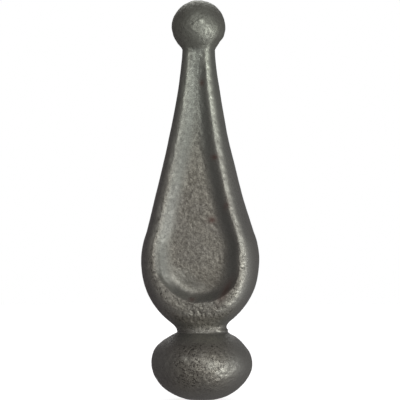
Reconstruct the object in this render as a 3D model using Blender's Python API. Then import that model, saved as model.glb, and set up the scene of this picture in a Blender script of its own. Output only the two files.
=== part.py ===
"""Forged fence spike: a ball tip on a long neck, a flat bulb with a sunk panel on both faces,
a waist, and a round knob that is welded on top of a picket.

Metres, +Z up. The origin is the centre of the flat weld seat under the knob, and the
front face looks along -Y. The whole spike is one solid, a loft through its level sections.
"""

import bpy
import numpy as np

# Heights above the weld seat
TOTAL_HEIGHT = 0.120
BULB_HEIGHT = 0.0414          # widest level of the bulb
SHOULDER_HEIGHT = 0.0448      # where the flank's sweep would reach the bulb's full width
WAIST_HEIGHT = 0.0213
KNOB_HEIGHT = 0.0112          # widest level of the knob

# Half widths seen from the front
BALL_RADIUS = 0.0080
NECK_RADIUS = 0.00485
BULB_HALF_WIDTH = 0.0177
WAIST_HALF_WIDTH = 0.0074
KNOB_RADIUS = 0.0151
SEAT_RADIUS = 0.0040

# Curvature and thickness
BULB_DROP = 0.0208            # semi-height of the bulb's curve below its widest level
BULB_RISE = 0.0222            # semi-height of the bulb's curve above it
KNOB_RISE = 0.0103            # semi-height of the knob's upper half
KNOB_SKEW = 0.0002            # the right shoulder of the knob stands this much higher
KNOB_RISE_IN_DEPTH = 0.0093   # the same semi-height on the front and back
FLANK_POWER = 1.42            # hollow sweep from the neck out to the bulb
BODY_HALF_DEPTH = 0.0083      # from the middle plane to the crest of the rim
WAIST_HALF_DEPTH = 0.0059     # the waist is flattened like the body above it
THICKNESS_POWER = 0.80        # how fast the body thickens as it widens

# Sunk panel with its raised rim
RIM_WIDTH = 0.0046            # outline to crest, round the bulb
RIM_WIDTH_AT_NECK = 0.0023
RIM_TAPER = 0.035             # rim width gained for each unit of height below the neck
CREST_DROP = 0.0146           # the crest closes this far below the bulb's widest level
CREST_SHAPE = 2.2             # fullness of the crest's lower end: 2 is an ellipse
PANEL_DROP = 0.0124           # the panel's edge closes this far below the widest level
FOOT_SHAPE = 1.95             # and is more pointed there
FOOT_SKEW = 0.25              # both are this much fuller on the right, less on the left
PANEL_DEPTH = 0.0027          # crest to floor
PANEL_WALL = 0.0062           # width of the wall between them
WALL_SKEW = 0.0007            # the wall is this much wider on the right, narrower on the left
FOOT_WALL = 0.0040            # width of the wall along the panel's foot
WALL_START = 1.5              # how softly the wall rounds over at the crest
WALL_SHAPE = 2.6              # and how softly it runs out on the floor
PANEL_SHIFT = 0.00025         # the panels were struck this far to the right of the middle
GROOVE_POWER = 0.7            # how fast the panel gets shallower as it narrows up the neck
GROOVE_RUNOUT = 0.0100        # it fades out over this height under the ball
RIM_CHAMFER = 0.25            # share of the outer slope's fall that is a chamfer
CHAMFER_START = 1.35          # how softly the chamfer leaves the crest: 1 is a sharp edge
RIM_SHAPE = 2.5               # how full the rest of the slope is: 2 is an ellipse

# A hammered spike isn't quite straight
KNOB_OFFSET = 0.00045         # knob and waist stand to the right of the bulb
SPIKE_LEAN = 0.00038          # neck and ball stand to its left
LEAN_LENGTH = 0.0130          # height over which the lean comes in

# Fillets where one form runs into the next
WAIST_BLEND = 0.0024
KNOB_BLEND = 0.0014
BALL_BLEND = 0.0010
RIM_BLEND = 0.0010
WAIST_FLARE = 0.0062          # the waist sinks into the bulb over this height
UNION_POWER = 9.0             # higher makes a tighter fillet between body and turned forms

# Mesh density: columns on a quarter of each section, rows in each stretch of the height
FLOOR_COLUMNS = 4
WALL_COLUMNS = 5
SLOPE_COLUMNS = 8
KNOB_LOWER_ROWS = 9
KNOB_UPPER_ROWS = 11
FOOT_ROWS = 23
BULB_ROWS = 7
FLANK_ROWS = 14
BALL_ROWS = 10

NAME = "forged_spike"
COLLECTION_NAME = "forged_fence_spike"
SHARP_ANGLE = np.radians(38.0)
STEEL_COLOUR = (0.115, 0.113, 0.104, 1.0)
STEEL_ROUGHNESS = 0.52
STEEL_METALLIC = 0.90

BALL_CENTRE = TOTAL_HEIGHT - BALL_RADIUS
NECK_HEIGHT = BALL_CENTRE - np.sqrt(BALL_RADIUS ** 2 - NECK_RADIUS ** 2)
PANEL_HALF_WIDTH = BULB_HALF_WIDTH - RIM_WIDTH


def ramp(value, start, end):
    """0 before start, 1 after end, an even S between them."""
    share = np.clip((value - start) / (end - start), 0.0, 1.0)
    return share * share * (3.0 - 2.0 * share)


def mix(first, second, share):
    return first + (second - first) * share


def soft_max(first, second, blend):
    """The larger of two lengths, with a fillet of about the given size where they cross."""
    overlap = np.maximum(blend - np.abs(first - second), 0.0)
    return np.maximum(first, second) + overlap ** 2 / (4.0 * blend)


def soft_min(first, second, blend):
    return -soft_max(-first, -second, blend)


def quarter_curve(share, power):
    """1 at share 0 down to 0 at share 1, along a quarter of a superellipse."""
    return np.maximum(1.0 - np.clip(share, 0.0, 1.0) ** power, 0.0) ** (1.0 / power)


def oval(height, centre, half_width, half_height):
    """Half width of an ellipse at a height, 0 beyond its ends."""
    return half_width * quarter_curve(np.abs(height - centre) / half_height, 2.0)


def knob_width(height, rise):
    """Half width of the knob: two half ellipses, the upper one of the given semi-height."""
    knob_drop = KNOB_HEIGHT / np.sqrt(1.0 - (SEAT_RADIUS / KNOB_RADIUS) ** 2)
    return oval(height, KNOB_HEIGHT, KNOB_RADIUS, np.where(height < KNOB_HEIGHT, knob_drop, rise))


def ball_width(height):
    return oval(height, BALL_CENTRE, BALL_RADIUS, BALL_RADIUS)


def body_width(height):
    """Half width of the flat body: an oval bulb, a hollow flank, and an end inside the ball."""
    bulb_half_height = np.where(height < BULB_HEIGHT, BULB_DROP, BULB_RISE)
    bulb = oval(height, BULB_HEIGHT, BULB_HALF_WIDTH, bulb_half_height)
    sweep = np.clip((NECK_HEIGHT - height) / (NECK_HEIGHT - SHOULDER_HEIGHT), 0.0, 1.0)
    flank = NECK_RADIUS + (BULB_HALF_WIDTH - NECK_RADIUS) * sweep ** FLANK_POWER
    to_flank = ramp(height, BULB_HEIGHT + 0.25 * BULB_RISE, BULB_HEIGHT + 0.45 * BULB_RISE)
    inside_ball = quarter_curve(np.maximum(height - NECK_HEIGHT, 0.0) / BALL_RADIUS, 2.0)
    return mix(bulb, flank, to_flank) * inside_ball


def side_width(height, side):
    """Half width of the outline, right of its middle for side 1 and left of it for -1."""
    waist = np.where((height > KNOB_HEIGHT) & (height < BULB_HEIGHT), WAIST_HALF_WIDTH, 0.0)
    width = soft_max(body_width(height), ball_width(height), BALL_BLEND)
    width = soft_max(width, waist, WAIST_BLEND)
    return soft_max(width, knob_width(height, KNOB_RISE + side * KNOB_SKEW), KNOB_BLEND)


def outline(height):
    """Half width of the whole outline at a height, and the X of its middle."""
    right = side_width(height, 1.0)
    left = side_width(height, -1.0)
    knob_shift = KNOB_OFFSET * (1.0 - ramp(height, WAIST_HEIGHT, WAIST_HEIGHT + WAIST_BLEND))
    lean_start = SHOULDER_HEIGHT + 0.3 * LEAN_LENGTH
    spike_shift = SPIKE_LEAN * ramp(height, lean_start, lean_start + LEAN_LENGTH)
    return 0.5 * (right + left), 0.5 * (right - left) + knob_shift - spike_shift


def turned_depth(height):
    """Half depth of the round forms: ball, knob, and a waist that sinks into the bulb."""
    sinking = quarter_curve(np.maximum(height - WAIST_HEIGHT, 0.0) / WAIST_FLARE, 3.0)
    waist = np.where(height > KNOB_HEIGHT, WAIST_HALF_DEPTH * sinking, 0.0)
    knob = knob_width(height, KNOB_RISE_IN_DEPTH)
    return np.maximum(soft_max(waist, knob, WAIST_BLEND), ball_width(height))


def rim_edge(height, width):
    """Half width between the two straight crests of the rim, which lean in towards the neck."""
    tapered = RIM_WIDTH_AT_NECK + RIM_TAPER * (NECK_HEIGHT - height)
    above_bulb = np.maximum(width - soft_min(RIM_WIDTH, tapered, RIM_BLEND), 0.0)
    return np.where(height < BULB_HEIGHT, PANEL_HALF_WIDTH, above_bulb)


def from_panel_axis(across, side):
    return np.abs(across - side * PANEL_SHIFT)


def slope_share(height, across, width, side):
    """0 at the rim's crest, 1 at the outline: measured level above the bulb's widest level,
    and along rays from its middle below it, where crest and outline are both ovals."""
    edge = rim_edge(height, width) + side * PANEL_SHIFT
    level = (across - edge) / np.maximum(width - edge, 0.01 * RIM_WIDTH)
    below = np.maximum(BULB_HEIGHT - height, 0.0)
    beside = from_panel_axis(across, side) / PANEL_HALF_WIDTH
    shape = CREST_SHAPE + side * FOOT_SKEW
    to_crest = (beside ** shape + (below / CREST_DROP) ** shape) ** (1.0 / shape)
    to_outline = np.hypot(across / BULB_HALF_WIDTH, below / BULB_DROP)
    gap = np.maximum(to_crest - to_outline, 0.001)
    return np.where(height < BULB_HEIGHT, (to_crest - 1.0) * to_outline / gap, level)


def wall_distance(height, across, width, side):
    """Distance inside the panel's edge, a side line and a curved foot. From the foot it counts
    for more, so that the wall is narrower there."""
    beside = from_panel_axis(across, side)
    from_side = np.maximum(rim_edge(height, width) - beside, 0.0)
    foot_curve = quarter_curve(beside / PANEL_HALF_WIDTH, FOOT_SHAPE + side * FOOT_SKEW)
    foot_line = BULB_HEIGHT - PANEL_DROP * foot_curve
    from_foot = np.maximum(height - foot_line, 0.0) * PANEL_WALL / FOOT_WALL
    return from_side * from_foot / np.maximum(np.hypot(from_side, from_foot), 0.001 * PANEL_WALL)


def rim_slope(share):
    """Outer slope of the rim, 1 at its crest and 0 at the outline: a chamfer that rounds over."""
    chamfer = 1.0 - np.clip(share, 0.0, 1.0) ** CHAMFER_START
    return mix(quarter_curve(share, RIM_SHAPE), chamfer, RIM_CHAMFER)


def panel_sink(height, across, width, side):
    """Depth of the sunk panel, an S down its wall; wall and floor fade out up the neck."""
    edge = rim_edge(height, width)
    widest = PANEL_WALL + side * WALL_SKEW * across / width
    wall = np.clip(edge, 0.001 * PANEL_WALL, widest)
    narrowing = (edge / PANEL_HALF_WIDTH) ** GROOVE_POWER
    under_ball = 1.0 - ramp(height, NECK_HEIGHT - GROOVE_RUNOUT, NECK_HEIGHT)
    down_wall = np.clip(wall_distance(height, across, width, side) / wall, 0.0, 1.0)
    return PANEL_DEPTH * narrowing * under_ball * (1.0 - (1.0 - down_wall ** WALL_START) ** WALL_SHAPE)


def body_depth(height, across, width, side):
    """Half thickness of the flat body: the rim's outer slope, less the sunk panel."""
    share = np.clip((width - NECK_RADIUS) / (BULB_HALF_WIDTH - NECK_RADIUS), 0.0, 1.0)
    thinned = mix(NECK_RADIUS, BODY_HALF_DEPTH, share ** THICKNESS_POWER)
    crest = np.where(height < BULB_HEIGHT, BODY_HALF_DEPTH, thinned)
    slope = crest * rim_slope(slope_share(height, across, width, side))
    return slope - panel_sink(height, across, width, side)


def half_thickness(height, share, side):
    """Y of the back face at a share of the half width; the front face is its mirror.
    Body and round forms are joined by a power mean, which leaves a fillet between them."""
    body = body_width(height)
    flat = np.where(body > 0.0, body_depth(height, share * body, body, side), 0.0)
    turned = turned_depth(height) * quarter_curve(share, 2.0)
    return (np.maximum(flat, 0.0) ** UNION_POWER + turned ** UNION_POWER) ** (1.0 / UNION_POWER)


def row_heights():
    """Level of each row of vertices, from the seat up to just under the top of the ball."""
    panel_foot = BULB_HEIGHT - PANEL_DROP
    foot_end = panel_foot + FOOT_WALL
    knob_turn = np.linspace(np.arccos(SEAT_RADIUS / KNOB_RADIUS), 0.0, KNOB_LOWER_ROWS + 1)
    shoulder_turn = np.linspace(0.0, 0.5 * np.pi, KNOB_UPPER_ROWS + 1)[1:]
    ball_start = np.arcsin((NECK_HEIGHT - BALL_CENTRE) / BALL_RADIUS)
    ball_turn = np.linspace(ball_start, 0.5 * np.pi, BALL_ROWS + 1)[1:-1]
    return np.concatenate([
        KNOB_HEIGHT * (1.0 - np.sin(knob_turn) / np.sin(knob_turn[0])),
        mix(KNOB_HEIGHT, WAIST_HEIGHT, np.sin(shoulder_turn)),
        np.linspace(WAIST_HEIGHT, foot_end, FOOT_ROWS + 1)[1:],
        np.linspace(foot_end, SHOULDER_HEIGHT, BULB_ROWS + 1)[1:],
        np.linspace(SHOULDER_HEIGHT, NECK_HEIGHT, FLANK_ROWS + 1)[1:],
        BALL_CENTRE + BALL_RADIUS * np.sin(ball_turn),
    ])


def section_shares(height, width, side):
    """Columns of one side of a section as shares of its half width. They follow the panel's
    floor, wall and edge on the flat body, and stand at even angles on the round forms."""
    columns = FLOOR_COLUMNS + WALL_COLUMNS + SLOPE_COLUMNS
    rounded = np.sin(0.5 * np.pi * np.linspace(0.0, 1.0, columns + 1))
    below = np.maximum(BULB_HEIGHT - height, 0.0)
    edge = rim_edge(height, width) * quarter_curve(below / PANEL_DROP, FOOT_SHAPE + side * FOOT_SKEW)
    edge = np.maximum((edge + side * PANEL_SHIFT) / width, 0.5)
    floor_edge = np.maximum(edge - PANEL_WALL / width, 0.35 * edge)
    floor = floor_edge * np.linspace(0.0, 1.0, FLOOR_COLUMNS, endpoint=False)
    wall = mix(floor_edge, edge, np.linspace(0.0, 1.0, WALL_COLUMNS, endpoint=False))
    slope = mix(edge, 1.0, np.sin(0.5 * np.pi * np.linspace(0.0, 1.0, SLOPE_COLUMNS + 1)))
    followed = np.concatenate([floor, wall, slope])
    flat = ramp(height, WAIST_HEIGHT, WAIST_HEIGHT + WAIST_FLARE)
    flat = flat * (1.0 - ramp(height, NECK_HEIGHT - BALL_BLEND, NECK_HEIGHT + BALL_BLEND))
    return mix(rounded, followed, flat)


def section_loop(height):
    """Points of one level section, once round from the right side past the back."""
    width, middle = outline(height)
    right = section_shares(height, width, 1.0)
    left = section_shares(height, width, -1.0)
    right_depth = half_thickness(height, right, 1.0)
    left_depth = half_thickness(height, left, -1.0)
    xs = np.concatenate([right[::-1], -left[1:], -left[-2:0:-1], right[:-1]]) * width + middle
    ys = np.concatenate([right_depth[::-1], left_depth[1:], -left_depth[-2:0:-1], -right_depth[:-1]])
    return [(x, y, height) for x, y in zip(xs.tolist(), ys.tolist())]


def make_steel():
    steel = bpy.data.materials.new("forged_steel")
    steel.use_nodes = True
    shader = steel.node_tree.nodes["Principled BSDF"]
    shader.inputs["Base Color"].default_value = STEEL_COLOUR
    shader.inputs["Roughness"].default_value = STEEL_ROUGHNESS
    shader.inputs["Metallic"].default_value = STEEL_METALLIC
    return steel


def make_spike():
    """Loft the level sections, close the seat with one flat face and the ball with a fan."""
    loops = [section_loop(height) for height in row_heights()]
    around = len(loops[0])
    points = [point for loop in loops for point in loop]
    points.append((outline(BALL_CENTRE)[1], 0.0, TOTAL_HEIGHT))

    faces = [tuple(reversed(range(around)))]
    for row in range(len(loops) - 1):
        for column in range(around):
            beside = (column + 1) % around
            low = row * around
            high = low + around
            faces.append((low + column, low + beside, high + beside, high + column))
    last = (len(loops) - 1) * around
    for column in range(around):
        faces.append((last + column, last + (column + 1) % around, len(points) - 1))

    mesh = bpy.data.meshes.new(NAME)
    mesh.from_pydata(points, [], faces)
    mesh.validate()
    mesh.shade_smooth()
    mesh.set_sharp_from_angle(angle=SHARP_ANGLE)
    mesh.polygons[0].use_smooth = False
    mesh.materials.append(make_steel())
    return bpy.data.objects.new(NAME, mesh)


def build():
    for old in list(bpy.data.objects):
        bpy.data.objects.remove(old, do_unlink=True)
    collection = bpy.data.collections.new(COLLECTION_NAME)
    bpy.context.scene.collection.children.link(collection)
    collection.objects.link(make_spike())


build()
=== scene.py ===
import math
import bpy
import numpy as np
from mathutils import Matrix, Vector


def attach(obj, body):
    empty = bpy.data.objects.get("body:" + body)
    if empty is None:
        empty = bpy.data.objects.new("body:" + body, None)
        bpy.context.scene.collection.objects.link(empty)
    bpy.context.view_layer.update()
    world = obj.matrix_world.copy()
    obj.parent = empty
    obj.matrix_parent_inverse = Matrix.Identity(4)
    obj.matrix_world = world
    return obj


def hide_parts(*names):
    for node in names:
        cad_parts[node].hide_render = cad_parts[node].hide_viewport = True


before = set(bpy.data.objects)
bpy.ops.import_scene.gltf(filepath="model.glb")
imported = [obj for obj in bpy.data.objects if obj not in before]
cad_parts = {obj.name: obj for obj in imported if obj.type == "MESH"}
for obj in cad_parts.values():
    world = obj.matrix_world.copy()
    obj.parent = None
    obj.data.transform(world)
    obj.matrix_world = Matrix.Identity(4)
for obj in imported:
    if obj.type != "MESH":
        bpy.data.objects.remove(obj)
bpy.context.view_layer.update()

# All sizes in millimetres, turned into metres when a mesh is made
mm = 0.001

# The forging: same form as the solid it stands for, with rimJoin to ease the rim into the bulb
spike = {
    "height": 120.0,
    "bulbHeight": 41.4,
    "shoulderHeight": 44.8,
    "waistHeight": 21.3,
    "knobHeight": 11.2,
    "ballRadius": 8.0,
    "neckRadius": 4.85,
    "bulbHalfWidth": 17.7,
    "waistHalfWidth": 7.4,
    "waistHalfDepth": 5.9,
    "knobRadius": 15.1,
    "seatRadius": 4.0,
    "bulbDrop": 20.8,
    "bulbRise": 22.2,
    "knobRise": 10.3,
    "knobSkew": 0.2,
    "knobRiseInDepth": 9.3,
    "flankPower": 1.42,
    "halfDepth": 8.3,
    "thicknessPower": 0.80,
    "rimWidth": 4.6,
    "rimWidthAtNeck": 2.3,
    "rimTaper": 0.035,
    "crestDrop": 14.6,
    "crestShape": 2.2,
    "panelDrop": 12.4,
    "footShape": 1.95,
    "footSkew": 0.25,
    "panelDepth": 2.7,
    "panelWall": 6.2,
    "wallSkew": 0.7,
    "footWall": 4.0,
    "wallStart": 1.5,
    "wallShape": 2.6,
    "panelShift": 0.25,
    "groovePower": 0.7,
    "grooveRunout": 10.0,
    "rimChamfer": 0.25,
    "chamferStart": 1.35,
    "rimShape": 2.5,
    "knobOffset": 0.45,
    "lean": 0.38,
    "leanLength": 13.0,
    "waistBlend": 2.4,
    "knobBlend": 1.4,
    "ballBlend": 1.0,
    "rimBlend": 1.0,
    "rimJoin": 7.0,
    "waistFlare": 6.2,
    "unionPower": 9.0,
    # columns on a quarter of each section, rows in each stretch of the height
    "columns": {"floor": 18, "wall": 20, "slope": 20},
    "rows": {"knobLow": 50, "knobHigh": 50, "foot": 60, "bulb": 36, "flank": 160, "ball": 56},
}
spike["ballCentre"] = spike["height"] - spike["ballRadius"]
spike["neckHeight"] = spike["ballCentre"] - math.sqrt(spike["ballRadius"] ** 2 - spike["neckRadius"] ** 2)
spike["panelHalfWidth"] = spike["bulbHalfWidth"] - spike["rimWidth"]

# Camera a little to the right of straight in front, because the forging is seen turned on its axis
camera = {
    "azimuth": 9.0, "distance": 1000.0, "height": 60.0,
    "frameHeight": 120.3, "sensor": 36.0, "reach": 20000.0,
}

# Hammered and scaled skin. Waves and grain are cell and height of each layer of noise; a span is
# where something starts and ends; a bell is its middle and half width, an oval its middle x and
# z, half sizes and turn as the camera sees it
skin = {
    "seed": 41,
    "waves": ((11.0, 0.15), (4.6, 0.06)),
    "grain": ((1.9, 0.022), (1.0, 0.038), (0.62, 0.066)),
    "grainOn": {
        "slope": 0.22, "wall": 0.40, "floor": 0.95, "crest": 1.7,
        "underside": 1.1, "knobFront": 1.7, "knob": 0.7, "ball": 0.8,
    },
    "frontSpan": (0.05, 0.4),
    "wallSpan": (-0.5, 0.5),
    "floorSpan": (0.6, 1.2),  # in widths of the panel's wall
    "crestBell": (-0.9, 1.3),
    "neckCalm": 0.45,
    "neckCalmSpan": (70.0, 98.0),
    "undersideOval": (0.0, 24.5, 8.5, 3.2, 0.0),
    "knobOval": (0.5, 9.8, 9.0, 5.8, 0.0),
    "knobFrontSpan": (0.2, 0.6),
    "waistSpan": (-1.5, 0.5),  # from the waist's height
    "ballSpan": (0.0, 2.0),  # from the neck's height
    "pits": 620,
    "pitRadius": (0.25, 0.62),
    "pitDepth": (0.03, 0.14),
    "roughPits": 330,
    "roughCrest": (-1.6, 0.1),
    "roughCrestHeights": (22.0, 60.0),
    "roughKnobHeights": (4.0, 16.0),
    "roughKnobDepth": 9.0,
    "lumpSpan": (0.4, 0.95),
    "seamHeight": 0.10,
    "seamWidth": 0.45,
    "seamSpan": (0.6, 0.9),
    "seamCell": 5.0,
    "seamUneven": 0.4,
    "troughDepth": 0.85,
    "troughBell": (5.4, 2.6),
    "troughReach": 8.0,
    "troughEnd": (34.0, 40.0),
    "creaseDepth": 0.16,
    "creaseBell": (2.1, 0.42),
    "creaseStart": (33.0, 36.0),
    "creaseEnd": (42.0, 50.0),
    "seatFade": 1.2,
}

# Where each finish lies, in the same terms; a pair named left and right holds the strength of
# the wear and painted highlight on the two crests, stronger on the right where the key light falls
finish = {
    "crestPlace": -1.0,
    "crestWidths": (1.1, 1.6),
    "crestWidens": (64.0, 88.0),
    "crestStart": (22.0, 30.0),
    "rightSpan": (0.0, 3.0),
    "wearAndHighlightBelow": {"left": 0.5, "right": 0.62},
    "wearAndHighlightBelowSpan": (42.0, 50.0),
    "wearAndHighlightMiddle": {"left": 1.0, "right": 1.15},
    "wearAndHighlightAbove": {"left": 0.7, "right": 1.32},
    "wearAndHighlightAboveSpan": (72.0, 92.0),
    "wearAndHighlightEnd": (-2.0, 1.0),  # from the neck's height
    "wearAndHighlightCell": 1.2,
    "wearAndHighlightPatchy": 0.3,
    "recessSpan": (0.0, 0.25),  # in widths of the panel's wall
    "recessStart": (30.0, 36.0),
    "recessEnd": (72.0, 104.0),
    "scaleSpan": (0.4, 1.0),  # in widths of the panel's wall
    "scaleCalm": 0.25,
    "scaleCalmSpan": (60.0, 95.0),
    "underBell": (24.0, 4.5),
    "underSpan": (0.3, 0.8),
    "knobOval": (0.0, 11.0, 9.5, 8.6, 0.0),
    "knobSpan": (0.1, 0.6),
    "roughBell": (-0.5, 1.3),
    "roughStart": (22.0, 28.0),
    "roughCalm": 0.4,
    "roughCalmSpan": (60.0, 80.0),
    "pittedFloor": 0.22,
    "pittedCrest": 0.8,
    "pittedCell": 2.6,
    "pittedPatchy": 0.8,
    "upperSpan": (55.0, 105.0),
}

# Lumps on the outline: side seen (1 right), height, half length, and how far it stands out
lumps = (
    (-1, 15.6, 2.0, 0.24), (1, 16.6, 1.6, -0.30), (1, 20.3, 1.1, 1.0), (1, 9.2, 2.4, 0.20),
    (1, 107.2, 1.2, -0.34), (-1, 22.2, 0.9, 0.26), (-1, 19.8, 0.7, -0.34), (-1, 113.0, 3.5, 0.20),
)

# Marks as the camera sees them: x to the right, z up, half length, half width, turn, height
dents = (
    (5.4, 78.2, 0.9, 0.35, 90.0, -0.16), (11.7, 47.8, 0.5, 0.4, 0.0, -0.22),
    (12.2, 46.2, 0.45, 0.35, 0.0, -0.18), (12.5, 43.4, 0.6, 0.4, 60.0, -0.22),
    (12.8, 40.0, 0.5, 0.4, 0.0, -0.20), (-13.4, 49.0, 0.5, 0.4, 0.0, -0.20),
    (-14.0, 43.6, 0.6, 0.4, 80.0, -0.20), (8.6, 30.4, 1.1, 0.35, 50.0, -0.26),
    (9.8, 31.2, 0.9, 0.35, 55.0, -0.24), (10.9, 32.4, 0.9, 0.4, 62.0, -0.24),
    (8.4, 32.6, 0.6, 0.4, 40.0, 0.14), (-4.6, 27.2, 0.9, 0.5, -20.0, 0.16),
    (-2.6, 26.2, 0.7, 0.5, 10.0, -0.16), (-0.6, 25.4, 0.9, 0.6, 0.0, 0.15),
    (-3.9, 24.3, 0.8, 0.5, 0.0, -0.14), (1.0, 23.7, 0.7, 0.5, 0.0, -0.14),
    (1.35, 10.2, 0.5, 0.4, 0.0, -0.24), (9.2, 9.8, 0.5, 0.4, 0.0, -0.24),
    (-3.0, 9.0, 3.2, 0.22, -31.0, -0.12), (-2.2, 8.0, 2.4, 0.2, -31.0, -0.10),
    (5.0, 3.5, 0.5, 0.4, 0.0, 0.16), (13.8, 14.4, 1.1, 0.4, -60.0, 0.16),
    (9.0, 19.2, 1.8, 0.3, -30.0, -0.16), (-0.9, 114.0, 0.35, 0.3, 0.0, -0.12),
    (-0.9, 112.8, 0.35, 0.3, 0.0, -0.12),
)

# Brown spots as the camera sees them: x, z, half length, half width, turn, strength
rustSpots = (
    (0.6, 95.0, 1.1, 0.8, 90.0, 0.8), (4.4, 72.8, 1.2, 0.9, 0.0, 0.85), (3.6, 54.0, 1.25, 1.0, 0.0, 0.9),
    (7.8, 58.3, 1.4, 0.9, 70.0, 0.65), (7.6, 33.0, 4.4, 1.2, 60.0, 0.75), (-2.4, 30.4, 1.1, 0.8, 0.0, 0.75),
)

# Painted highlights: bright spots on the panel's foot, the waist, the ball and the knob where light catches
# them, in the same terms
paintedHighlightSpots = (
    (-5.0, 36.2, 5.0, 2.6, -35.0, 0.95), (-1.6, 34.1, 3.8, 1.4, 0.0, 0.85),
    (-9.8, 35.5, 3.2, 1.5, -50.0, 0.75), (0.0, 18.2, 8.0, 1.6, 0.0, 0.45),
    (-0.8, 116.2, 5.5, 2.4, 0.0, 0.45), (0.6, 113.4, 0.8, 0.6, 0.0, 1.0),
    (7.0, 9.0, 2.6, 1.8, 20.0, 0.9), (3.4, 11.2, 3.0, 1.6, 0.0, 0.8), (-4.2, 12.9, 1.8, 1.2, -20.0, 0.7),
)

# Pale sweep with a low key light from the right, a small lamp for the sheen and a broad front
# light; the back light shows the far side
studio = {
    "lights": {
        "key": {"azimuth": 55.0, "elevation": -18.0, "distance": 900.0, "size": 500.0, "power": 5.5},
        "lamp": {"azimuth": 26.0, "elevation": 29.0, "distance": 270.0, "size": 14.0, "power": 0.074},
        "front": {"azimuth": 4.0, "elevation": 12.0, "distance": 1100.0, "size": 600.0, "power": 3.15},
        "back": {"azimuth": 189.0, "elevation": 42.0, "distance": 900.0, "size": 600.0, "power": 2.2},
    },
    "ambient": (0.168, 0.152, 0.160),
    "floorRadius": 900.0,
    "floorTone": (0.8, 0.8, 0.8),
    "floorRoughness": 0.9,
}

print("spike: sizes read")


# 0 before start, 1 after end, and an even S (3s^2 - 2s^3) between them
def ramp(value, start, end):
    share = np.clip((value - start) / (end - start), 0.0, 1.0)
    return share * share * (3.0 - 2.0 * share)


def mix(first, second, share):
    return first + (second - first) * share


# The larger of two lengths, plus overlap^2 / (4 blend) where they are closer than blend
def softMax(first, second, blend):
    overlap = np.maximum(blend - np.abs(first - second), 0.0)
    return np.maximum(first, second) + overlap ** 2 / (4.0 * blend)


def softMin(first, second, blend):
    return -softMax(-first, -second, blend)


# A quarter of a superellipse: (1 - share^power)^(1/power)
def quarterCurve(share, power):
    return np.maximum(1.0 - np.clip(share, 0.0, 1.0) ** power, 0.0) ** (1.0 / power)


def oval(z, centre, halfWidth, halfHeight):
    return halfWidth * quarterCurve(np.abs(z - centre) / halfHeight, 2.0)


# Half width of the knob: two half ellipses, the upper one of the given semi-height
def knobWidth(z, rise):
    s = spike
    knobDrop = s["knobHeight"] / math.sqrt(1.0 - (s["seatRadius"] / s["knobRadius"]) ** 2)
    return oval(z, s["knobHeight"], s["knobRadius"], np.where(z < s["knobHeight"], knobDrop, rise))


def ballWidth(z):
    return oval(z, spike["ballCentre"], spike["ballRadius"], spike["ballRadius"])


# Half width of the flat body: ellipse of the bulb, power curve of the flank, end in the ball
def bodyWidth(z):
    s = spike
    bulbHalfHeight = np.where(z < s["bulbHeight"], s["bulbDrop"], s["bulbRise"])
    bulb = oval(z, s["bulbHeight"], s["bulbHalfWidth"], bulbHalfHeight)
    sweep = np.clip((s["neckHeight"] - z) / (s["neckHeight"] - s["shoulderHeight"]), 0.0, 1.0)
    flank = s["neckRadius"] + (s["bulbHalfWidth"] - s["neckRadius"]) * sweep ** s["flankPower"]
    toFlank = ramp(z, s["bulbHeight"] + 0.25 * s["bulbRise"], s["bulbHeight"] + 0.45 * s["bulbRise"])
    insideBall = quarterCurve(np.maximum(z - s["neckHeight"], 0.0) / s["ballRadius"], 2.0)
    return mix(bulb, flank, toFlank) * insideBall


# Half width of the outline on one side (1 right, -1 left): all forms joined by soft maxima
def sideWidth(z, side):
    s = spike
    waist = np.where((z > s["knobHeight"]) & (z < s["bulbHeight"]), s["waistHalfWidth"], 0.0)
    width = softMax(bodyWidth(z), ballWidth(z), s["ballBlend"])
    width = softMax(width, waist, s["waistBlend"])
    return softMax(width, knobWidth(z, s["knobRise"] + side * s["knobSkew"]), s["knobBlend"])


# Half width of the outline and the X of its middle, which leans left above and right below
def outline(z):
    s = spike
    right = sideWidth(z, 1.0)
    left = sideWidth(z, -1.0)
    knobShift = s["knobOffset"] * (1.0 - ramp(z, s["waistHeight"], s["waistHeight"] + s["waistBlend"]))
    leanStart = s["shoulderHeight"] + 0.3 * s["leanLength"]
    spikeShift = s["lean"] * ramp(z, leanStart, leanStart + s["leanLength"])
    return 0.5 * (right + left), 0.5 * (right - left) + knobShift - spikeShift


# Half depth of the round forms: ball, knob, and a waist that sinks into the bulb
def turnedDepth(z):
    s = spike
    sinking = quarterCurve(np.maximum(z - s["waistHeight"], 0.0) / s["waistFlare"], 3.0)
    waist = np.where(z > s["knobHeight"], s["waistHalfDepth"] * sinking, 0.0)
    knob = knobWidth(z, s["knobRiseInDepth"])
    return np.maximum(softMax(waist, knob, s["waistBlend"]), ballWidth(z))


# Half width between the two straight crests of the rim, eased into the rim of the bulb
def rimEdge(z, width):
    s = spike
    tapered = s["rimWidthAtNeck"] + s["rimTaper"] * (s["neckHeight"] - z)
    aboveBulb = np.maximum(width - softMin(s["rimWidth"], tapered, s["rimBlend"]), 0.0)
    return mix(s["panelHalfWidth"], aboveBulb, ramp(z, s["bulbHeight"], s["bulbHeight"] + s["rimJoin"]))


def fromPanelAxis(across, side):
    return np.abs(across - side * spike["panelShift"])


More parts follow.
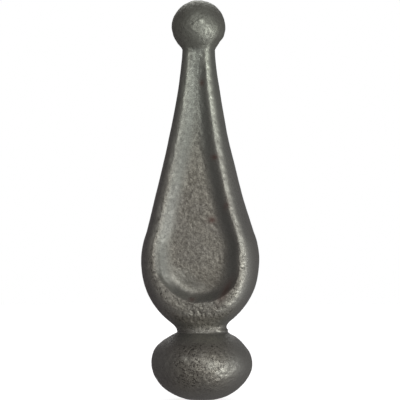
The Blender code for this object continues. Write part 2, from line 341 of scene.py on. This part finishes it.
# 0 at the crest, 1 at the outline: level above the bulb's widest level, and along rays
# between two ovals (rc - 1) ro / (rc - ro) below it, where rc = (x^p + z^p)^(1/p)
def slopeShare(z, across, width, side):
    s = spike
    edge = rimEdge(z, width) + side * s["panelShift"]
    level = (across - edge) / np.maximum(width - edge, 0.01 * s["rimWidth"])
    below = np.maximum(s["bulbHeight"] - z, 0.0)
    beside = fromPanelAxis(across, side) / s["panelHalfWidth"]
    shape = s["crestShape"] + side * s["footSkew"]
    toCrest = (beside ** shape + (below / s["crestDrop"]) ** shape) ** (1.0 / shape)
    toOutline = np.hypot(across / s["bulbHalfWidth"], below / s["bulbDrop"])
    gap = np.maximum(toCrest - toOutline, 0.001)
    return np.where(z < s["bulbHeight"], (toCrest - 1.0) * toOutline / gap, level)


# Distance inside the panel's edge: distances a and b from side and foot, joined as ab / hypot,
# where b counts for more so that the wall is narrower at the foot
def wallDistance(z, across, width, side):
    s = spike
    beside = fromPanelAxis(across, side)
    fromSide = np.maximum(rimEdge(z, width) - beside, 0.0)
    footCurve = quarterCurve(beside / s["panelHalfWidth"], s["footShape"] + side * s["footSkew"])
    footLine = s["bulbHeight"] - s["panelDrop"] * footCurve
    fromFoot = np.maximum(z - footLine, 0.0) * s["panelWall"] / s["footWall"]
    return fromSide * fromFoot / np.maximum(np.hypot(fromSide, fromFoot), 0.001 * s["panelWall"])


# Outer slope of the rim, c (1 - share^start) + (1 - c) superellipse: a chamfer that rounds over
def rimSlope(share):
    chamfer = 1.0 - np.clip(share, 0.0, 1.0) ** spike["chamferStart"]
    return mix(quarterCurve(share, spike["rimShape"]), chamfer, spike["rimChamfer"])


# Depth of the sunk panel, 1 - (1 - share^start)^shape down its wall: round at the crest and
# soft at the floor; wall and floor fade out up the neck
def panelSink(z, across, width, side):
    s = spike
    edge = rimEdge(z, width)
    widest = s["panelWall"] + side * s["wallSkew"] * across / np.maximum(width, s["seatRadius"])
    wall = np.clip(edge, 0.001 * s["panelWall"], widest)
    narrowing = (edge / s["panelHalfWidth"]) ** s["groovePower"]
    underBall = 1.0 - ramp(z, s["neckHeight"] - s["grooveRunout"], s["neckHeight"])
    downWall = np.clip(wallDistance(z, across, width, side) / wall, 0.0, 1.0)
    drop = 1.0 - (1.0 - downWall ** s["wallStart"]) ** s["wallShape"]
    return s["panelDepth"] * narrowing * underBall * drop


# Half thickness of the flat body: outer slope of the rim, less the sunk panel
def bodyDepth(z, across, width, side):
    s = spike
    share = np.clip((width - s["neckRadius"]) / (s["bulbHalfWidth"] - s["neckRadius"]), 0.0, 1.0)
    thinned = mix(s["neckRadius"], s["halfDepth"], share ** s["thicknessPower"])
    crest = np.where(z < s["bulbHeight"], s["halfDepth"], thinned)
    return crest * rimSlope(slopeShare(z, across, width, side)) - panelSink(z, across, width, side)


# Y of the back face: power mean (a^p + b^p)^(1/p) of the body and the round forms
def halfThickness(z, share, side):
    body = bodyWidth(z)
    power = spike["unionPower"]
    flat = np.where(body > 0.0, bodyDepth(z, share * body, body, side), 0.0)
    turned = turnedDepth(z) * quarterCurve(share, 2.0)
    return (np.maximum(flat, 0.0) ** power + turned ** power) ** (1.0 / power)


# Row levels: even angles round the knob and ball, even steps between
def rowLevels():
    s = spike
    rows = s["rows"]
    footEnd = s["bulbHeight"] - s["panelDrop"] + s["footWall"]
    knobTurn = np.linspace(math.acos(s["seatRadius"] / s["knobRadius"]), 0.0, rows["knobLow"] + 1)
    shoulderTurn = np.linspace(0.0, 0.5 * np.pi, rows["knobHigh"] + 1)[1:]
    ballStart = math.asin((s["neckHeight"] - s["ballCentre"]) / s["ballRadius"])
    ballTurn = np.linspace(ballStart, 0.5 * np.pi, rows["ball"] + 1)[1:-1]
    return np.concatenate([
        s["knobHeight"] * (1.0 - np.sin(knobTurn) / math.sin(knobTurn[0])),
        mix(s["knobHeight"], s["waistHeight"], np.sin(shoulderTurn)),
        np.linspace(s["waistHeight"], footEnd, rows["foot"] + 1)[1:],
        np.linspace(footEnd, s["shoulderHeight"], rows["bulb"] + 1)[1:],
        np.linspace(s["shoulderHeight"], s["neckHeight"], rows["flank"] + 1)[1:],
        s["ballCentre"] + s["ballRadius"] * np.sin(ballTurn),
    ])


# Columns of one side of every row as shares of the half width: sines of even angles on round sections,
# mixed with stations on the floor, the wall and the slope of the rim on the flat body
def columnShares(z, width, side):
    s = spike
    counts = s["columns"]
    rounded = np.sin(0.5 * np.pi * np.linspace(0.0, 1.0, sum(counts.values()) + 1))
    below = np.maximum(s["bulbHeight"] - z, 0.0)
    footCurve = quarterCurve(below / s["panelDrop"], s["footShape"] + side * s["footSkew"])
    edge = np.maximum((rimEdge(z, width) * footCurve + side * s["panelShift"]) / width, 0.5)[:, None]
    floorEdge = np.maximum(edge - s["panelWall"] / width[:, None], 0.35 * edge)
    floor = floorEdge * np.linspace(0.0, 1.0, counts["floor"], endpoint=False)
    wall = mix(floorEdge, edge, np.linspace(0.0, 1.0, counts["wall"], endpoint=False))
    slope = mix(edge, 1.0, np.sin(0.5 * np.pi * np.linspace(0.0, 1.0, counts["slope"] + 1)))
    flat = ramp(z, s["waistHeight"], s["waistHeight"] + s["waistFlare"])
    flat = flat * (1.0 - ramp(z, s["neckHeight"] - s["ballBlend"], s["neckHeight"] + s["ballBlend"]))
    return mix(rounded[None, :], np.concatenate([floor, wall, slope], axis=1), flat[:, None])


# Grid of points, rows up the height and columns once round from the right past the back,
# with each point's distance inside the panel's edge, less than 0 beyond the crest, and its
# share of the half width
def spikeGrid():
    z = rowLevels()
    width, middle = outline(z)
    body = bodyWidth(z)[:, None]
    sides = {}
    for side in (1.0, -1.0):
        share = columnShares(z, width, side)
        level = np.broadcast_to(z[:, None], share.shape)
        outside = np.clip(slopeShare(level, share * body, body, side), 0.0, 1.0) * spike["rimWidth"]
        inside = wallDistance(level, share * body, body, side) - outside
        inside = np.where(level < spike["neckHeight"], inside, 0.0)
        sides[side] = (side * share, halfThickness(level, share, side), level, inside)

    def around(number, face):
        right, left = sides[1.0][number], sides[-1.0][number]
        front = [right[:, ::-1], left[:, 1:]]
        back = [face * left[:, -2:0:-1], face * right[:, :-1]]
        return np.concatenate(front + back, axis=1)

    reach = around(0, 1.0)
    points = np.stack([reach * width[:, None] + middle[:, None], around(1, -1.0), around(2, 1.0)], axis=2)
    return points, around(3, 1.0), reach


# Unit normals of the closed grid from central differences
def gridNormals(points):
    around = np.roll(points, -1, axis=1) - np.roll(points, 1, axis=1)
    upward = np.gradient(points, axis=0)
    normals = np.cross(around, upward)
    return normals / np.maximum(np.linalg.norm(normals, axis=2, keepdims=True), 1e-12)


# Smooth noise from -1 to 1: random values on a cubic lattice, blended between its corners
def noise(points, cell, seed):
    size = 64
    lattice = np.random.default_rng(seed).uniform(-1.0, 1.0, (size, size, size))
    place = points / cell + 0.37 * size
    low = np.floor(place).astype(int)
    share = ramp(place - low, 0.0, 1.0)
    total = np.zeros(points.shape[:-1])
    for corner in np.ndindex(2, 2, 2):
        weight = np.prod(np.where(np.array(corner) == 1, share, 1.0 - share), axis=-1)
        spot = (low + corner) % size
        total += weight * lattice[spot[..., 0], spot[..., 1], spot[..., 2]]
    return total


# Place on the photo's plane, and how squarely the surface faces the camera
def seenFrom(points, normals):
    turn = math.radians(camera["azimuth"])
    seenX = points[..., 0] * math.cos(turn) + points[..., 1] * math.sin(turn)
    facing = normals[..., 0] * math.sin(turn) - normals[..., 1] * math.cos(turn)
    aside = normals[..., 0] * math.cos(turn) + normals[..., 1] * math.sin(turn)
    return seenX, facing, aside


# Bell curve exp(-|(value - middle) / half|^power), 1 at the middle
def bell(value, middle, half, power=2):
    return np.exp(-np.abs((value - middle) / half) ** power)


# Soft oval spot: exp(-|a|^power - |b|^power) in the spot's own turned directions
def spotMask(seenX, z, spot, power=2):
    x, height, halfLong, halfShort, turn = spot[:5]
    turn = math.radians(turn)
    along = (seenX - x) * math.cos(turn) + (z - height) * math.sin(turn)
    over = (z - height) * math.cos(turn) - (seenX - x) * math.sin(turn)
    return bell(along, 0.0, halfLong, power) * bell(over, 0.0, halfShort, power)


# The strongest of several spots at each point
def spotsMask(seenX, z, spots):
    return np.max([spot[5] * spotMask(seenX, z, spot) for spot in spots], axis=0)


def between(value, span):
    return (value > span[0]) & (value < span[1])


# Random round pits: for each, -depth exp(-(distance / radius)^2) about a point of the grid,
# the last of them on the lower crest, the land under the panel's foot and the knob's front
def pitRelief(points, within):
    rng = np.random.default_rng(skin["seed"])
    flat = points.reshape(-1, 3)
    relief = np.zeros(len(flat))
    crest = between(within.ravel(), skin["roughCrest"]) & between(flat[:, 2], skin["roughCrestHeights"])
    knobFront = between(flat[:, 2], skin["roughKnobHeights"]) & (flat[:, 1] < -skin["roughKnobDepth"])
    rough = rng.choice(np.flatnonzero(crest | knobFront), skin["roughPits"])
    centres = flat[np.concatenate([rng.integers(0, len(flat), skin["pits"]), rough])]
    radii = rng.uniform(*skin["pitRadius"], len(centres))
    depths = rng.uniform(*skin["pitDepth"], len(centres))
    for centre, radius, depth in zip(centres, radii, depths):
        near = np.abs(flat[:, 2] - centre[2]) < 3.0 * radius
        relief[near] -= depth * np.exp(-np.sum((flat[near] - centre) ** 2, axis=1) / radius ** 2)
    return relief.reshape(points.shape[:2])


# How strongly the grain shows: a weight for each region, blended where regions meet
def grainWeight(z, within, seenX, facing):
    on = skin["grainOn"]
    s = spike
    body = mix(on["slope"], on["wall"], ramp(within, *skin["wallSpan"]))
    body = mix(body, on["floor"], ramp(within / s["panelWall"], *skin["floorSpan"]))
    body *= mix(1.0, skin["neckCalm"], ramp(z, *skin["neckCalmSpan"]))
    body = np.maximum(body, on["crest"] * bell(within, *skin["crestBell"]))
    body = np.maximum(body, on["underside"] * spotMask(seenX, z, skin["undersideOval"]))
    patch = spotMask(seenX, z, skin["knobOval"], 4) * ramp(facing, *skin["knobFrontSpan"])
    knob = mix(on["knob"], on["knobFront"], patch)
    weight = mix(knob, body, ramp(z - s["waistHeight"], *skin["waistSpan"]))
    return mix(weight, on["ball"], ramp(z - s["neckHeight"], *skin["ballSpan"]))


# Height of the skin over the smooth form, in millimetres along its normals: the sum of waves,
# weighted grain, pits, dents, lumps, and a raised seam, less the trough and the crease
def skinRelief(points, normals, within, reach):
    z = points[..., 2]
    relief = np.zeros(z.shape)
    seenX, facing, aside = seenFrom(points, normals)
    for number, (cell, height) in enumerate(skin["waves"]):
        relief += height * noise(points, cell, skin["seed"] + number)
    weight = grainWeight(z, within, seenX, facing)
    for number, (cell, height) in enumerate(skin["grain"]):
        relief += height * weight * noise(points, cell, skin["seed"] + 10 + number)
    relief += pitRelief(points, within)

    front = ramp(facing, *skin["frontSpan"])
    for dent in dents:
        relief += dent[5] * spotMask(seenX, z, dent) * front
    for side, height, halfLength, amount in lumps:
        relief += amount * bell(z, height, halfLength) * ramp(side * aside, *skin["lumpSpan"])

    trough = bell(within, *skin["troughBell"]) * bell(points[..., 0], 0.0, skin["troughReach"], 4)
    relief -= skin["troughDepth"] * trough * (1.0 - ramp(z, *skin["troughEnd"]))
    crease = bell(within, *skin["creaseBell"]) * (reach < 0.0) * front
    crease *= ramp(z, *skin["creaseStart"]) * (1.0 - ramp(z, *skin["creaseEnd"]))
    relief -= skin["creaseDepth"] * crease

    seam = bell(points[..., 1], 0.0, skin["seamWidth"]) * ramp(np.abs(reach), *skin["seamSpan"])
    uneven = mix(1.0, noise(points, skin["seamCell"], skin["seed"] + 20), skin["seamUneven"])
    relief += skin["seamHeight"] * seam * uneven
    return relief * ramp(z, 0.0, skin["seatFade"])


# Closed mesh of a grid: quads between the rows, the flat seat below and a fan to the top point
def gridMesh(name, points, topPoint):
    rows, columns = points.shape[:2]
    index = np.arange(rows * columns).reshape(rows, columns)
    beside = np.roll(index, -1, axis=1)
    quads = np.stack([index[:-1], beside[:-1], beside[1:], index[1:]], axis=2).reshape(-1, 4)
    fan = np.stack([index[-1], beside[-1], np.full(columns, rows * columns)], axis=1)
    faces = [index[0][::-1].tolist()] + quads.tolist() + fan.tolist()
    verts = np.concatenate([points.reshape(-1, 3), [topPoint]]) * mm
    mesh = bpy.data.meshes.new(name)
    mesh.from_pydata(verts.tolist(), [], faces)
    mesh.validate()
    mesh.shade_smooth()
    mesh.polygons[0].use_smooth = False
    return mesh


def addAttribute(mesh, name, grid):
    attribute = mesh.attributes.new(name, "FLOAT", "POINT")
    values = np.append(grid.ravel(), grid[-1].mean())
    attribute.data.foreach_set("value", values.astype(np.float32))


# Wear and painted highlight along the crest of the rim: a bell across the crest, stronger on the right, where
# the key light falls, and higher up
def crestWearAndHighlight(z, within, seenX):
    right = ramp(seenX, *finish["rightSpan"])
    below, middle, above = [
        mix(finish[name]["left"], finish[name]["right"], right)
        for name in ("wearAndHighlightBelow", "wearAndHighlightMiddle", "wearAndHighlightAbove")
    ]
    width = mix(*finish["crestWidths"], ramp(z, *finish["crestWidens"]))
    wearAndHighlight = bell(within, finish["crestPlace"], width) * ramp(z, *finish["crestStart"])
    wearAndHighlight *= mix(below, middle, ramp(z, *finish["wearAndHighlightBelowSpan"]))
    wearAndHighlight *= mix(1.0, above, ramp(z, *finish["wearAndHighlightAboveSpan"]))
    return wearAndHighlight * (1.0 - ramp(z - spike["neckHeight"], *finish["wearAndHighlightEnd"]))


# Masks that the steel reads from the mesh, each from 0 to about 1: rust, wear with painted
# highlights, recess, scale, pitted and upper
def addFinish(mesh, points, normals, within):
    z = points[..., 2]
    seenX, facing = seenFrom(points, normals)[:2]
    front = ramp(facing, *skin["frontSpan"])
    addAttribute(mesh, "rust", front * spotsMask(seenX, z, rustSpots))

    # Pale crest wear plus painted highlights: the crest is brighter on the lit right side, and bright spots
    # stand where highlights fall
    wearAndHighlight = np.maximum(crestWearAndHighlight(z, within, seenX), front * spotsMask(seenX, z, paintedHighlightSpots))
    patchy = mix(1.0, noise(points, finish["wearAndHighlightCell"], skin["seed"] + 30), finish["wearAndHighlightPatchy"])
    addAttribute(mesh, "wearAndHighlight", wearAndHighlight * patchy)

    inWalls = within / spike["panelWall"]
    recess = ramp(inWalls, *finish["recessSpan"]) * ramp(z, *finish["recessStart"])
    addAttribute(mesh, "recess", recess * (1.0 - ramp(z, *finish["recessEnd"])))

    under = bell(z, *finish["underBell"]) * ramp(facing, *finish["underSpan"])
    knobFront = spotMask(seenX, z, finish["knobOval"], 4) * ramp(facing, *finish["knobSpan"])
    floor = np.maximum(ramp(inWalls, *finish["scaleSpan"]), under)
    scale = np.maximum(floor, knobFront) * mix(1.0, finish["scaleCalm"], ramp(z, *finish["scaleCalmSpan"]))
    rough = bell(within, *finish["roughBell"]) * ramp(z, *finish["roughStart"])
    rough *= mix(1.0, finish["roughCalm"], ramp(z, *finish["roughCalmSpan"]))
    addAttribute(mesh, "scale", np.maximum(scale, rough))

    pitted = np.maximum(finish["pittedFloor"] * floor, finish["pittedCrest"] * np.maximum(rough, under))
    pitted = np.maximum(pitted, knobFront)
    clusters = 1.0 + finish["pittedPatchy"] * noise(points, finish["pittedCell"], skin["seed"] + 31)
    addAttribute(mesh, "pitted", np.clip(pitted * clusters, 0.0, 1.0))
    addAttribute(mesh, "upper", ramp(z, *finish["upperSpan"]))


def makeSpike():
    smooth, within, reach = spikeGrid()
    normals = gridNormals(smooth)
    relief = skinRelief(smooth, normals, within, reach)
    points = smooth + normals * relief[..., None]
    points[0, :, 2] = 0.0
    topPoint = (outline(np.array([spike["ballCentre"]]))[1][0], 0.0, spike["height"])
    mesh = gridMesh("forgedSpike", points, topPoint)
    addFinish(mesh, smooth, normals, within)
    piece = bpy.data.objects.new("forged_spike_surface", mesh)
    bpy.context.collection.objects.link(piece)
    print("spike:", len(mesh.polygons), "faces")
    return piece


# Bare steel: colours of the plain skin, the shaded wall, the scale, its pits, pale wear that also paints
# highlights, and rust, the spans and strengths that place them, and cells of the noises in millimetres
steel = {
    "dark": (0.190, 0.187, 0.176),
    "light": (0.318, 0.327, 0.292),
    "wall": (0.172, 0.176, 0.156),
    "scaleDark": (0.150, 0.140, 0.116),
    "scaleLight": (0.322, 0.310, 0.262),
    "pit": (0.042, 0.036, 0.029),
    "wearAndHighlight": (0.52, 0.525, 0.465),
    "rust": (0.078, 0.037, 0.027),
    "upperTint": (0.99, 1.035, 0.99),
    "grainCell": 0.36,
    "grainSpan": (0.32, 0.68),
    "grainShare": 0.55,
    "mottleCell": 1.1,
    "mottleSpan": (0.36, 0.66),
    "stainCell": 9.0,
    "stainSpan": (0.45, 0.75),
    "stainShare": 0.30,
    "pitCell": 0.62,
    "pitSpan": (0.38, 0.48),
    "recessShare": 0.8,
    "wearAndHighlightSpan": (0.1, 1.3),
    "roughDull": 0.68,
    "roughBright": 0.40,
    "roughSpan": (0.1, 0.9),
    "metal": 0.85,
    "rustMetal": 0.25,
    "mottleBump": {"plain": 0.3, "scale": 2.4},
    "pitBump": -0.8,
    "bumpStrength": 0.8,
    "bumpHeight": 0.08,
}


# One noise texture in the object's own space, with cells of the given size
def addNoise(nodes, links, place, cell, detail):
    texture = nodes.new("ShaderNodeTexNoise")
    texture.inputs["Scale"].default_value = 1.0 / (cell * mm)
    texture.inputs["Detail"].default_value = detail
    texture.inputs["Roughness"].default_value = 0.55
    links.new(place, texture.inputs["Vector"])
    return texture.outputs["Fac"]


# Value moved from one span to another, held at the ends
def addRange(nodes, links, value, span, toLow, toHigh):
    remap = nodes.new("ShaderNodeMapRange")
    for name, number in (("From Min", span[0]), ("From Max", span[1]), ("To Min", toLow), ("To Max", toHigh)):
        remap.inputs[name].default_value = number
    links.new(value, remap.inputs["Value"])
    return remap.outputs["Result"]


# Two colours or sockets mixed by a share, or the first multiplied by the second
def addMix(nodes, links, share, first, second, kind="MIX"):
    blend = nodes.new("ShaderNodeMix")
    blend.data_type = "RGBA"
    blend.blend_type = kind
    links.new(share, blend.inputs["Factor"])
    for name, colour in (("A", first), ("B", second)):
        if isinstance(colour, tuple):
            blend.inputs[name].default_value = colour + (1.0,)
        else:
            links.new(colour, blend.inputs[name])
    return blend.outputs["Result"]


# One step of arithmetic on sockets and numbers
def addMath(nodes, links, operation, *values):
    step = nodes.new("ShaderNodeMath")
    step.operation = operation
    for number, value in enumerate(values):
        if isinstance(value, float):
            step.inputs[number].default_value = value
        else:
            links.new(value, step.inputs[number])
    return step.outputs[0]


# The skin's own values on the mesh
def readAttribute(nodes, name):
    attribute = nodes.new("ShaderNodeAttribute")
    attribute.attribute_name = name
    return attribute.outputs["Fac"]


# Bare forged steel: smooth grey, darker in the recess, a warm speckled scale on floor and knob,
# pale worn crests with a painted highlight on the lit right crest, painted highlight spots, and brown where
# it rusts; duller where darker
def makeSteel():
    material = bpy.data.materials.new("forgedSteel")
    material.use_nodes = True
    nodes = material.node_tree.nodes
    links = material.node_tree.links
    shader = nodes["Principled BSDF"]
    place = nodes.new("ShaderNodeTexCoord").outputs["Object"]
    grain = addNoise(nodes, links, place, steel["grainCell"], 2.0)
    mottle = addNoise(nodes, links, place, steel["mottleCell"], 3.0)
    stain = addNoise(nodes, links, place, steel["stainCell"], 2.0)
    pits = addNoise(nodes, links, place, steel["pitCell"], 2.0)
    names = ("rust", "wearAndHighlight", "recess", "scale", "pitted", "upper")
    masks = {name: readAttribute(nodes, name) for name in names}

    fine = addRange(nodes, links, grain, steel["grainSpan"], 0.0, steel["grainShare"])
    coarse = addRange(nodes, links, mottle, steel["mottleSpan"], 0.0, 1.0 - steel["grainShare"])
    tone = addMath(nodes, links, "ADD", fine, coarse)
    pitted = addRange(nodes, links, pits, steel["pitSpan"], 1.0, 0.0)
    pitted = addMath(nodes, links, "MULTIPLY", pitted, masks["pitted"])
    recessed = addRange(nodes, links, masks["recess"], (0.0, 1.0), 0.0, steel["recessShare"])
    stained = addRange(nodes, links, stain, steel["stainSpan"], 0.0, steel["stainShare"])
    wornAndLit = addRange(nodes, links, masks["wearAndHighlight"], steel["wearAndHighlightSpan"], 0.0, 1.0)

    plain = addMix(nodes, links, tone, steel["dark"], steel["light"])
    plain = addMix(nodes, links, recessed, plain, steel["wall"])
    scaled = addMix(nodes, links, tone, steel["scaleDark"], steel["scaleLight"])
    scaled = addMix(nodes, links, pitted, scaled, steel["pit"])
    colour = addMix(nodes, links, masks["scale"], plain, scaled)
    colour = addMix(nodes, links, stained, colour, steel["dark"])
    # Painted highlight: the pale wear colour is also painted where highlights fall, on the right crest and
    # the bright spots
    colour = addMix(nodes, links, wornAndLit, colour, steel["wearAndHighlight"])
    colour = addMix(nodes, links, masks["rust"], colour, steel["rust"])
    colour = addMix(nodes, links, masks["upper"], colour, steel["upperTint"], "MULTIPLY")
    roughness = addRange(nodes, links, tone, steel["roughSpan"], steel["roughDull"], steel["roughBright"])
    metallic = addRange(nodes, links, masks["rust"], (0.0, 1.0), steel["metal"], steel["rustMetal"])

    onMottle = steel["mottleBump"]
    weight = addRange(nodes, links, masks["scale"], (0.0, 1.0), onMottle["plain"], onMottle["scale"])
    crust = addMath(nodes, links, "MULTIPLY_ADD", mottle, weight, grain)
    crust = addMath(nodes, links, "MULTIPLY_ADD", pitted, steel["pitBump"], crust)
    bump = nodes.new("ShaderNodeBump")
    bump.inputs["Strength"].default_value = steel["bumpStrength"]
    bump.inputs["Distance"].default_value = steel["bumpHeight"] * mm
    links.new(crust, bump.inputs["Height"])
    for name, socket in (("Base Color", colour), ("Roughness", roughness), ("Metallic", metallic),
                         ("Normal", bump.outputs["Normal"])):
        links.new(socket, shader.inputs[name])
    print("steel: material made")
    return material


# Point on a sphere about the middle of the spike: azimuth from straight in front towards the
# right, elevation up
def aroundSpike(azimuth, elevation, distance):
    turn = math.radians(azimuth)
    rise = math.radians(elevation)
    flat = distance * math.cos(rise)
    height = camera["height"] + distance * math.sin(rise)
    return Vector((flat * math.sin(turn), -flat * math.cos(turn), height)) * mm


# Put a light or camera in its place, looking at the middle of the spike
def aimAtSpike(name, data, place):
    thing = bpy.data.objects.new(name, data)
    bpy.context.collection.objects.link(thing)
    direction = Vector((0.0, 0.0, camera["height"] * mm)) - place
    thing.location = place
    thing.rotation_euler = direction.to_track_quat("-Z", "Y").to_euler()
    return thing


def makeLight(name, values):
    light = bpy.data.lights.new(name, "AREA")
    light.shape = "SQUARE"
    light.size = values["size"] * mm
    light.energy = values["power"]
    aimAtSpike(name, light, aroundSpike(values["azimuth"], values["elevation"], values["distance"]))


def makeCamera():
    lens = bpy.data.cameras.new("camera")
    lens.sensor_width = camera["sensor"]
    lens.lens = camera["sensor"] * camera["distance"] / camera["frameHeight"]
    lens.clip_end = camera["reach"] * mm
    place = aroundSpike(camera["azimuth"], 0.0, camera["distance"])
    bpy.context.scene.camera = aimAtSpike("camera", lens, place)


# Round floor that glows for the camera only, so that the spike stands on a pale ground
def makeFloor():
    turn = np.linspace(0.0, 2.0 * np.pi, 96, endpoint=False)
    ring = np.stack([np.cos(turn), np.sin(turn), np.zeros_like(turn)], axis=1) * studio["floorRadius"] * mm
    mesh = bpy.data.meshes.new("floor")
    mesh.from_pydata(ring.tolist(), [], [list(range(len(ring)))])
    material = bpy.data.materials.new("paleFloor")
    material.use_nodes = True
    nodes = material.node_tree.nodes
    links = material.node_tree.links
    shader = nodes["Principled BSDF"]
    shader.inputs["Base Color"].default_value = studio["floorTone"] + (1.0,)
    shader.inputs["Roughness"].default_value = studio["floorRoughness"]
    shader.inputs["Emission Strength"].default_value = 1.0
    forCamera = nodes.new("ShaderNodeLightPath").outputs["Is Camera Ray"]
    glow = addMix(nodes, links, forCamera, (0.0, 0.0, 0.0), studio["floorTone"])
    links.new(glow, shader.inputs["Emission Color"])
    mesh.materials.append(material)
    floor = bpy.data.objects.new("floor", mesh)
    bpy.context.collection.objects.link(floor)
    floor.visible_shadow = False
    floor.visible_glossy = False
    floor.visible_diffuse = False


# White behind the spike for the camera, and a dim even light from all round for the steel
def makeWorld():
    world = bpy.data.worlds.new("studio")
    world.use_nodes = True
    nodes = world.node_tree.nodes
    links = world.node_tree.links
    forCamera = nodes.new("ShaderNodeLightPath").outputs["Is Camera Ray"]
    tone = addMix(nodes, links, forCamera, studio["ambient"], (1.0, 1.0, 1.0))
    links.new(tone, nodes["Background"].inputs["Color"])
    bpy.context.scene.world = world
    bpy.context.scene.view_settings.view_transform = "Standard"


piece = makeSpike()
piece.data.materials.append(makeSteel())
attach(piece, "root")
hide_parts("forged_spike")
makeCamera()
makeFloor()
makeWorld()
for name, values in studio["lights"].items():
    makeLight(name, values)
print("studio: camera, floor and lights made")
